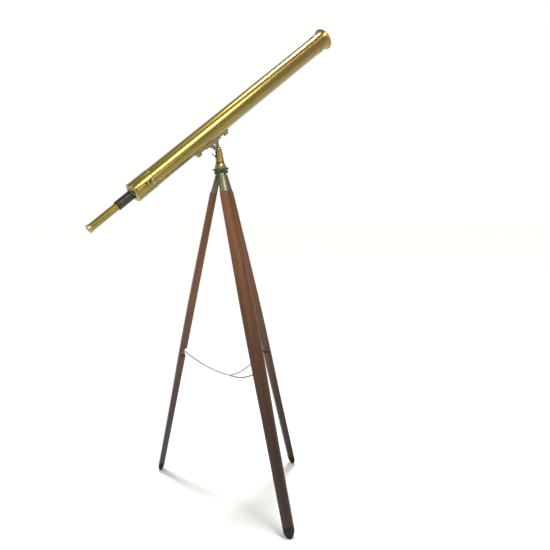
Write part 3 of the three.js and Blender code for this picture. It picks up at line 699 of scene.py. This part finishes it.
# ---------------------------------------------------------------- draw tube and eyepiece
DRAW_REAR = TAIL - 88
DRAW_FRONT = DRAW_REAR + 330
DRAW_R, DRAW_BORE = 20, 18.4
EYE_RIM = TAIL - 240
EYE_REAR, EYE_FRONT = EYE_RIM + 9, EYE_RIM + 192
EYE_R, EYE_BORE = 16, 14.6
turned("draw_barrel", ON_TUBE, [
    [DRAW_REAR, DRAW_BORE], [DRAW_REAR, DRAW_R], [DRAW_FRONT, DRAW_R], [DRAW_FRONT, DRAW_BORE],
], BLACKENED, "draw", ["draw_tube"], "blackened_brass", 0.2)
turned("draw_end_ring", ON_TUBE, [
    [DRAW_REAR - 1.6, 16.3], [DRAW_REAR - 1.6, 19.8], [DRAW_REAR - 1.2, 20.4],
    [DRAW_REAR - 0.6, 20.4], [DRAW_REAR - GAP, 20.1], [DRAW_REAR - GAP, 18.1],
    [DRAW_REAR + 24, 18.1], [DRAW_REAR + 24, 16.3],
], BLACKENED, "draw", ["draw_bush"], "blackened_brass", 0.1)
turned("eyepiece_barrel", ON_TUBE, [
    [EYE_REAR, EYE_BORE], [EYE_REAR, EYE_R], [EYE_FRONT, EYE_R], [EYE_FRONT, EYE_BORE],
], TUBE_BRASS, "eyepiece", ["eyepiece_tube"], BRASS_SLOT, 0.2)
turned("eyecup_shell", ON_TUBE, [
    [EYE_RIM, 15], [EYE_RIM, 18.3],
    *[[EYE_RIM + 0.8 - 0.8 * math.cos(a), 18.2 + 0.8 * math.sin(a)]
      for a in (math.radians(30 * k) for k in range(0, 4))],
    *spline([[EYE_RIM + 2.4, 18.9], [EYE_RIM + 5.5, 18.3], [EYE_RIM + 9, 17.7],
             [EYE_RIM + 13, 17.3]], 5),
    [EYE_RIM + 14, 17.3], [EYE_RIM + 14.3, 16.9], [EYE_RIM + 15, 16.9], [EYE_RIM + 15.3, 17.3],
    [EYE_RIM + 18, 17.3], [EYE_RIM + 18, 16.3], [EYE_RIM + 8.7, 16.3], [EYE_RIM + 8.7, 5.5],
    [EYE_RIM + 5, 5.5], [EYE_RIM + 3.6, 8], [EYE_RIM + 1.6, 12],
], FITTING_BRASS, "eyepiece", ["eyecup"], BRASS_SLOT, 0.12)

# ---------------------------------------------------------------- saddle
SADDLE_X = -8
WINGS = (("rear", SADDLE_X - 83), ("front", SADDLE_X + 83))
BAR_BOTTOM, BAR_HALF, BAR_ROUND = 41, 103, 12
PLATE_BOTTOM, PLATE_TOP = 36.6, BAR_BOTTOM - GAP
FLAT = Matrix.Rotation(math.pi / 2, 4, "X")          # a plate's outline, from XZ to XY


def casting():
    """The curved web with its slit, and the foot plate that carries the bar."""
    neck = [(-40, 37.4)] + curve_to((-40, 37.4), (-23, 30), (-19.7, 15.5))
    neck += [(-18.6, 12), (-12, 0)] + arc(0, 0, 12, 180, 360, 24)[1:]
    neck += curve_to((12, 0), (9, 24), (30, 37.4))
    piece = add_mesh("saddle_web", CRADLE, *plate(neck, 10.4), CAST_BRASS, "telescope",
                     ["saddle_casting"], "tarnished_brass", 1.1)
    slit = plate([(-2.6, 12.5), (3.6, 31), (2.4, 33.4), (-6.8, 33.4), (-8.0, 31)], 30)
    carve(piece, cutter(*slit, CRADLE), cutter(*moved(rod(4.3, -30, 30), TO_SIDE), CRADLE))
    slab = plate(arc(31, 0, 11, -90, 90) + arc(-42, 0, 11, 90, 270), PLATE_TOP - PLATE_BOTTOM)
    middle = Matrix.Translation((0, 0, (PLATE_TOP + PLATE_BOTTOM) / 2 * MM))
    add_mesh("saddle_foot", CRADLE @ middle @ FLAT, *slab, CAST_BRASS, "telescope", [],
             "tarnished_brass", 0.9)


casting()


def bar():
    """A round-ended strap, hollowed on top to fit the tube."""
    straight = BAR_HALF - BAR_ROUND
    thickness = 10
    outline = arc(SADDLE_X + straight, 0, BAR_ROUND, -90, 90, 20)
    outline += arc(SADDLE_X - straight, 0, BAR_ROUND, 90, 270, 20)
    middle = Matrix.Translation((0, 0, (BAR_BOTTOM + thickness / 2) * MM))
    piece = add_mesh("saddle_strap", CRADLE @ middle @ FLAT, *plate(outline, thickness),
                     FITTING_BRASS, "telescope", ["saddle_bar"], BRASS_SLOT, 0.8)
    carve(piece, cutter(*moved(rod(TUBE_R + 0.2, -200, 200, 144), ALONG_X), TUBE))


bar()


def wing_screw(name, x):
    stem = lathe([[27.6, 0], [27.6, 2], [28.2, 3.4], [29.4, 4.2], [35.6, 4.2], [36.6, 5],
                  [37, 6.2], [37.6, 6.5], [40, 6.5], [PLATE_TOP, 6.1], [PLATE_TOP, 3], [54, 3],
                  [54, 0]], 48)
    lobe = [(2, 30), (6.5, 29.3)] + arc(9.4, 34, 4.5, -95, 130, 14) + [(4.5, 35.6), (2, 35.8)]
    right = plate(lobe, 3)
    left = plate([(-px, pz) for px, pz in lobe[::-1]], 3)
    add_mesh(f"wing_thumbscrew_{name}", CRADLE @ Matrix.Translation((x * MM, 0, 0)),
             *merged(stem, right, left), FITTING_BRASS, f"wing_{name}", [f"wing_screw_{name}"],
             BRASS_SLOT, 0.7)


for name, x in WINGS:
    wing_screw(name, x)

# ---------------------------------------------------------------- pillar and head
RIM_TOP = 22
FLANGE_TOP, WASHER_TOP = 46, 50
FOOT = WASHER_TOP + GAP
SPINDLE_R, SPINDLE_HOLE = 7, 7.4
SPINDLE_END = 13.5
DOME_R = 14
FORK_HALF = 5.5
AT_BOLT = TURNTABLE @ Matrix.Translation((0, 0, PIVOT_HEIGHT * MM)) @ TO_SIDE
LEVER_HEIGHT, LEVER_LENGTH, LEVER_X = 76, 17, -19.3
LEVER_LEAN = math.radians(50)
AT_LEVER = TURNTABLE @ Matrix.Translation((0, 0, LEVER_HEIGHT * MM))


def pillar():
    """A tapered post with a domed top, carved for the casting's tongue, the bolt and the clamp."""
    dome = [[PIVOT_HEIGHT + DOME_R * math.sin(a), DOME_R * math.cos(a)]
            for a in (math.radians(7.5 * k) for k in range(1, 12))]
    piece = turned("pillar_post", TURNTABLE, [
        [SPINDLE_END, 0], [SPINDLE_END, SPINDLE_R], [FOOT, SPINDLE_R], [FOOT, 18.8],
        [FOOT + 0.6, 19.5], [FOOT + 3.2, 19.5], [FOOT + 4, 18.9], [FOOT + 5, 18.6], *spline([
            [FOOT + 6, 18.7], [FOOT + 14, 17.7], [PIVOT_HEIGHT - 16, 15.8],
            [PIVOT_HEIGHT, DOME_R]], 6), *dome, [PIVOT_HEIGHT + DOME_R, 0],
    ], FITTING_BRASS, "turntable", ["pillar"], BRASS_SLOT, 0.3)
    fork = box_part(-30, 30, -FORK_HALF, FORK_HALF, PIVOT_HEIGHT - 17, 140)
    carve(piece, cutter(*fork, TURNTABLE), cutter(*rod(4.2, -30, 30), AT_BOLT),
          cutter(*moved(rod(3.2, -30, -9.7), ALONG_X), AT_LEVER))


pillar()

bolt = turned("tilt_bolt", AT_BOLT, [
    [-19.4, 0], [-19.4, 4], [14.8, 4], [14.8, 6], [15.2, 6.2],
    *[[15.4 + 1.7 * math.sin(a), 6.1 * math.cos(a)]
      for a in (math.radians(15 * k) for k in range(0, 6))], [17.1, 0],
], STEEL, "turntable", ["pivot_bolt"], "steel", 0.1, 48)
carve(bolt, cutter(*box_part(-8, 8, -0.6, 0.6, 16.2, 20), AT_BOLT @ Matrix.Rotation(0.6, 4, "Z")))


def lever():
    """A clamp screw with a round boss and a short leaning arm that ends in a ball."""
    ball_r = 2.8
    lean = Matrix.Rotation(-LEVER_LEAN, 4, "Y")
    screw = moved(lathe([[-20.4, 0], [-20.4, 2.4], [-20, 3], [-10, 3], [-10, 0]], 32), ALONG_X)
    boss = moved(lathe([[-21, 0], [-21, 4.2], [-20.4, 5], [-18.4, 5], [-17.7, 4.2], [-17.7, 0]],
                       40), ALONG_X)
    arm = moved(lathe([[-1, 0], [-1, 1.9], [7, 1.6], [13, 1.5], [LEVER_LENGTH - 1, 1.8],
                       [LEVER_LENGTH - 1, 0]], 24), Matrix.Translation((LEVER_X, 0, 0)) @ lean)
    tip = (LEVER_X - LEVER_LENGTH * math.sin(LEVER_LEAN), 0, LEVER_LENGTH * math.cos(LEVER_LEAN))
    ball = moved(lathe([[-ball_r, 0], *[[ball_r * math.sin(a), ball_r * math.cos(a)]
                                        for a in (math.radians(15 * k) for k in range(-5, 6))],
                        [ball_r, 0]], 24), Matrix.Translation(tip) @ lean)
    add_mesh("clamp_handle", AT_LEVER, *merged(screw, boss, arm, ball), IRON, "clamp",
             ["clamp_lever"], "black_iron", 0)


lever()

turned("pillar_washer", TURNTABLE, [
    [FLANGE_TOP + GAP, SPINDLE_HOLE], [FLANGE_TOP + GAP, 18.9], [FLANGE_TOP + 1.2, 19.6],
    [WASHER_TOP - 1.2, 19.6], [WASHER_TOP, 18.9], [WASHER_TOP, SPINDLE_HOLE],
], LEATHER, "head", ["friction_washer"], "leather", 0.2)
BASE = RIM_TOP + GAP
turned("pillar_flange", TURNTABLE, [
    [BASE, SPINDLE_HOLE], [BASE, 26.6], [BASE + 0.5, 27], [BASE + 2.4, 27],
    [BASE + 2.9, 26.7], [BASE + 3.3, 26], *spline([[BASE + 4, 26.2], [BASE + 7, 25.7], [BASE + 12, 24.1],
                               [FLANGE_TOP - 5, 20.9]], 6),
    [FLANGE_TOP - 4, 20.4], *bead(FLANGE_TOP - 2.4, 19.6, 1.1), [FLANGE_TOP - 0.8, 19.6],
    [FLANGE_TOP, 19.2], [FLANGE_TOP, SPINDLE_HOLE],
], FITTING_BRASS, "head", ["head_flange"], BRASS_SLOT, 0.15)


def head_piece():
    """The turned head, with a slot for each leg's tongue."""
    piece = turned("head_block", TURNTABLE, [
        [19, SPINDLE_HOLE], [19, 11], [-4, 11], [-4, 29], [-2, 31], [9, 31], [10, 30.4],
        [11, 30.4], [12, 31], *spline([[12.4, 31.2], [14, 32.4], [15.2, 34.6], [16.2, 36]], 5),
        [17, 36.5], [20.6, 36.5], [21.6, 36], [RIM_TOP, 35], [RIM_TOP, SPINDLE_HOLE],
    ], BRONZE, "head", ["tripod_head"], "dark_bronze", 0.3)
    tools = []
    for name in LEGS:
        joint = JOINTS[f"leg_{name}_fold"]
        y = -Vector(joint["axis"]).normalized()
        spoke = basis(y.cross(HEAD_Z), y, HEAD_Z, Vector(joint["pos_m"]))
        tools.append(cutter(*box_part(-9.5, 40, -6.3, 6.3, -20, 9), spoke))
    carve(piece, *tools)


head_piece()

# ---------------------------------------------------------------- legs
SHEATH_TOP, SHEATH_END = 11, 88
SHOE_START = 1548
CORNER, APEX_ROUND = 2.2, 1.2


def sector(radius, inset):
    """Outline of a third of a round, apex inward, with rounded corners, round its column's axis."""
    centre = radius - CORNER
    reach = math.radians(60) - (inset + CORNER) / centre
    face = math.degrees(reach)
    points = arc(inset / math.sin(math.pi / 3) + APEX_ROUND, 0, APEX_ROUND, 150, 210, 4)
    points += arc(centre * math.cos(reach), -centre * math.sin(reach), CORNER, -150, -60, 5)
    points += arc(0, 0, radius, -face, face, 20)[1:-1]
    points += arc(centre * math.cos(reach), centre * math.sin(reach), CORNER, 60, 150, 5)
    return points


def loft(rings):
    """Closed skin through rings of equal length, with flat ends."""
    count = len(rings[0])
    vertices = [point for ring in rings for point in ring]
    faces = [list(range(count))[::-1]]
    for low in range(len(rings) - 1):
        for i in range(count):
            j = (i + 1) % count
            faces.append([low * count + i, low * count + j, (low + 1) * count + j,
                          (low + 1) * count + i])
    faces.append(list(range((len(rings) - 1) * count, len(rings) * count)))
    return vertices, faces


def wood_rings():
    """Sections of a leg that swells at the middle, with a notch in its apex for the eye."""
    heights = [[-SHOE_START + GAP, 30.6], [-1400, 31.6], [-1160, 33.6], [-930, 37.2],
               [-700, 39], [-500, 38], [-300, 35.8], [-SHEATH_END - 6, 33.8]]
    outline = spline(heights, 7)
    outline += [[-SHEATH_END - 3.5, 33.6], [-SHEATH_END - 1.6, 32.8], [-SHEATH_END - 0.5, 31.4]]
    edges = (-EYE_DROP - 20, -EYE_DROP + 20)
    for edge in edges:
        radius = next(b[1] for a, b in zip(outline, outline[1:]) if a[0] <= edge <= b[0])
        outline += [[edge - 0.1, radius], [edge + 0.1, radius]]
    outline.sort()
    rings = []
    for z, radius in outline:
        floor = NOTCH_FLOOR if edges[0] < z < edges[1] else -HINGE_R
        rings.append([(max(x - HINGE_R, floor), y, z) for x, y in sector(radius, WOOD_GAP)])
    return rings


def sheath_rings():
    """Sections of the sheath, from the bead at its lower edge up to its shoulder."""
    outline = [[-SHEATH_END, 31.0], [-SHEATH_END + 0.6, 31.5], [-SHEATH_END + 3.2, 31.5],
               [-SHEATH_END + 3.8, 30.9], [-60, 28.8], [-32, 26.9], [-18, 25.9],
               [-SHEATH_TOP - 1.6, 25.4], [-SHEATH_TOP - 0.5, 24.8], [-SHEATH_TOP, 23.6]]
    return [[(x - HINGE_R, y, z) for x, y in sector(radius, 1.15)] for z, radius in outline]


def shoe_rings():
    """Sections of the shoe, which shrink towards the foot tip."""
    middle = HINGE_R + FOOT_X
    outline = []
    for i in range(11):
        t = i / 10
        scale = 0.16 + 0.84 * math.sin(math.pi / 2 * t) ** 0.62
        outline.append((-LEG_LENGTH + 0.6 + (LEG_LENGTH - SHOE_START - 14) * t, scale))
    outline += [(-SHOE_START - 9, 1.0), (-SHOE_START - 2, 1.012), (-SHOE_START, 1.0)]
    section = sector(30.4, 1.3)
    return [[(middle + (x - middle) * scale - HINGE_R, y * scale, z) for x, y in section]
            for z, scale in outline]


def wood_screws():
    """Small domed screws through the sheath's round face."""
    parts = []
    for z, radius in ((-24, 26.3), (-76, 30.0)):
        head = lathe([[-1.2, 0], [-1.2, 3.1], [0, 3.1], [0.5, 3.0], [1.0, 2.3], [1.3, 1.2],
                      [1.4, 0]], 24)
        parts.append(moved(head, Matrix.Translation((radius - HINGE_R, 0, z)) @ ALONG_X))
    return merged(*parts)


def leg(name):
    """Wood, sheath with its tongue and screws, shoe, and the screw eye in its notch."""
    place = LEG_FRAMES[name]
    body = f"leg_{name}"
    add_mesh(f"mahogany_leg_{name}", place, *loft(wood_rings()), WOOD, body,
             [f"leg_wood_{name}"], "mahogany", 0, math.radians(50))
    shell = loft(sheath_rings())
    tongue = plate([(-8, -SHEATH_TOP - 1), (8, -SHEATH_TOP - 1), *arc(0, 0, 8, 0, 180, 20)], 12)
    add_mesh(f"brass_sheath_{name}", place, *merged(shell, tongue), TARNISHED, body,
             [f"leg_sheath_{name}"], "tarnished_brass", 0.4)
    add_mesh(f"sheath_screws_{name}", place, *wood_screws(), FITTING_BRASS, body, [],
             BRASS_SLOT, 0)
    add_mesh(f"iron_shoe_{name}", place, *loft(shoe_rings()), IRON, body,
             [f"leg_shoe_{name}"], "black_iron", 0.2)
    eye = moved(torus_part(EYE_RING, 1.1, 28, 10),
                Matrix.Translation((NOTCH_FLOOR - EYE_OUT, 0, -EYE_DROP)) @ TO_SIDE)
    stem = moved(lathe([[-1.6, 0], [-1.6, 1.5], [-0.4, 1.5], [-0.2, 3.2], [0, 3.2], [0, 0]], 20),
                 Matrix.Translation((NOTCH_FLOOR, 0, -EYE_DROP)) @ ALONG_X)
    add_mesh(f"screw_eye_{name}", place, *merged(eye, stem), STEEL, body, [f"chain_eye_{name}"],
             "steel", 0)


for name in LEGS:
    leg(name)

# ---------------------------------------------------------------- kept CAD nodes
KEPT = {
    "spindle_nut": STEEL, "pivot_nut": FITTING_BRASS, "saddle_screw_rear": STEEL,
    "saddle_screw_front": STEEL, "screw_boss_rear": FITTING_BRASS,
    "screw_boss_front": FITTING_BRASS, "lens_cell": BLACKENED, "flint_lens": GLASS,
    "crown_lens": GLASS, "retaining_ring": BLACKENED, "baffle_front": BLACKENED,
    "baffle_rear": BLACKENED, "guide_tube": BLACKENED, "guide_ring": BLACKENED,
    "pinion": STEEL, "rack": FITTING_BRASS, "erector_cell": BLACKENED, "erector_lens": GLASS,
    "eye_lens": GLASS, "field_lens": GLASS, "hinge_pin_front": STEEL, "hinge_pin_left": STEEL,
    "hinge_pin_back": STEEL,
}
for node, material in KEPT.items():
    frame["nodes"][node].data.materials.clear()
    frame["nodes"][node].data.materials.append(material)


# ---------------------------------------------------------------- floor, light and backdrop
LAMP_COLOUR = (1, 0.98, 0.93)


def stage_floor():
    half = 30_000
    floor = mesh_object("floor", [(-half, -half, 0), (half, -half, 0), (half, half, 0),
                                  (-half, half, 0)], [[0, 1, 2, 3]])
    n = Nodes("pale_floor")
    soft = n.noise(1.5, 2)
    n.colour(n.ramp(soft, (0.3, (0.935, 0.933, 0.922)), (0.7, (0.95, 0.948, 0.938))))
    n.fixed(Roughness=0.7, Specular_IOR_Level=0.15)
    floor.data.materials.append(n.material)


def area(name, matrix, length, width, power):
    data = bpy.data.lights.new(name, "AREA")
    data.shape = "RECTANGLE"
    data.size, data.size_y = length, width
    data.energy = power
    data.color = LAMP_COLOUR
    lamp = bpy.data.objects.new(name, data)
    lamp.matrix_world = matrix
    bpy.context.scene.collection.objects.link(lamp)
    return lamp


def strip(name, angle, at, size, power, shape="RECTANGLE"):
    """A light parallel to the telescope, turned round it from the camera's side.

    angle is in degrees, and is negative above the camera's side. at is the place where the
    light's middle is reflected, in metres along the tube from above the pivot.
    """
    reach = 2.6
    place = TUBE @ Vector((at, 0, 0))
    to_camera = CAMERA_AT - place
    slip = to_camera.dot(TUBE_X)
    across = to_camera - TUBE_X * slip
    away = Matrix.Rotation(math.radians(angle), 3, TUBE_X) @ across.normalized()
    place = place + away * reach - TUBE_X * (slip * reach / across.length)
    lamp = area(name, basis(TUBE_X, away.cross(TUBE_X), away, place), *size, power)
    lamp.data.shape = shape


def softbox(name, place, target, length, width, power):
    turn = (Vector(target) - Vector(place)).to_track_quat("-Z", "Y").to_matrix().to_4x4()
    area(name, Matrix.Translation(place) @ turn, length, width, power)


def overhead():
    """Soft light from above, which leaves the tripod's shadow between its feet."""
    data = bpy.data.lights.new("overhead", "SUN")
    data.energy = 2.05
    data.angle = math.radians(9)
    lamp = bpy.data.objects.new("overhead", data)
    lamp.rotation_euler = (math.radians(-7), math.radians(-3), 0)
    bpy.context.scene.collection.objects.link(lamp)


def world():
    """White to the camera, bright and soft on matt pieces, a shaded room in reflections."""
    sky = bpy.data.worlds.new("studio")
    sky.use_nodes = True
    tree = sky.node_tree
    nodes, links = tree.nodes, tree.links
    coords = nodes.new("ShaderNodeTexCoord")
    split = nodes.new("ShaderNodeSeparateXYZ")
    links.new(coords.outputs["Generated"], split.inputs[0])
    backdrop = nodes["Background"]
    backdrop.inputs["Color"].default_value = (1.0, 1.0, 0.985, 1)
    backdrop.inputs["Strength"].default_value = 1.0
    fill = nodes.new("ShaderNodeBackground")
    fill.inputs["Color"].default_value = (1.0, 0.995, 0.975, 1)
    side = nodes.new("ShaderNodeMapRange")
    for key, number in (("From Min", -0.5), ("From Max", 0.6), ("To Min", 0.72),
                        ("To Max", 0.14)):
        side.inputs[key].default_value = number
    links.new(split.outputs["X"], side.inputs["Value"])
    links.new(side.outputs["Result"], fill.inputs["Strength"])
    room = nodes.new("ShaderNodeBackground")
    ramp = nodes.new("ShaderNodeValToRGB")
    stops = ramp.color_ramp.elements
    stops[0].position, stops[0].color = 0.0, (0.66, 0.66, 0.60, 1)
    stops[1].position, stops[1].color = 0.9, (0.50, 0.48, 0.42, 1)
    middle = stops.new(0.45)
    middle.color = (0.60, 0.58, 0.52, 1)
    links.new(split.outputs["Z"], ramp.inputs["Fac"])
    links.new(ramp.outputs["Color"], room.inputs["Color"])
    rays = nodes.new("ShaderNodeLightPath")
    shiny = nodes.new("ShaderNodeMixShader")
    links.new(rays.outputs["Is Glossy Ray"], shiny.inputs[0])
    links.new(fill.outputs[0], shiny.inputs[1])
    links.new(room.outputs[0], shiny.inputs[2])
    seen = nodes.new("ShaderNodeMixShader")
    links.new(rays.outputs["Is Camera Ray"], seen.inputs[0])
    links.new(shiny.outputs[0], seen.inputs[1])
    links.new(backdrop.outputs[0], seen.inputs[2])
    links.new(seen.outputs[0], nodes["World Output"].inputs["Surface"])
    sky.cycles.sampling_method = "NONE"
    bpy.context.scene.world = sky


stage_floor()
world()
strip("long_strip", -33, 0.15, (6, 0.20), 17)
strip("tail_strip", 8, -0.42, (0.75, 0.2), 2.8)
strip("window", -27, -0.06, (1.5, 1.2), 38, "ELLIPSE")
softbox("key_window", (-2.2, -1.6, 3.4), (0, 0, 1.3), 1.2, 1.2, 14)
overhead()
bpy.context.scene.view_settings.view_transform = "Standard"
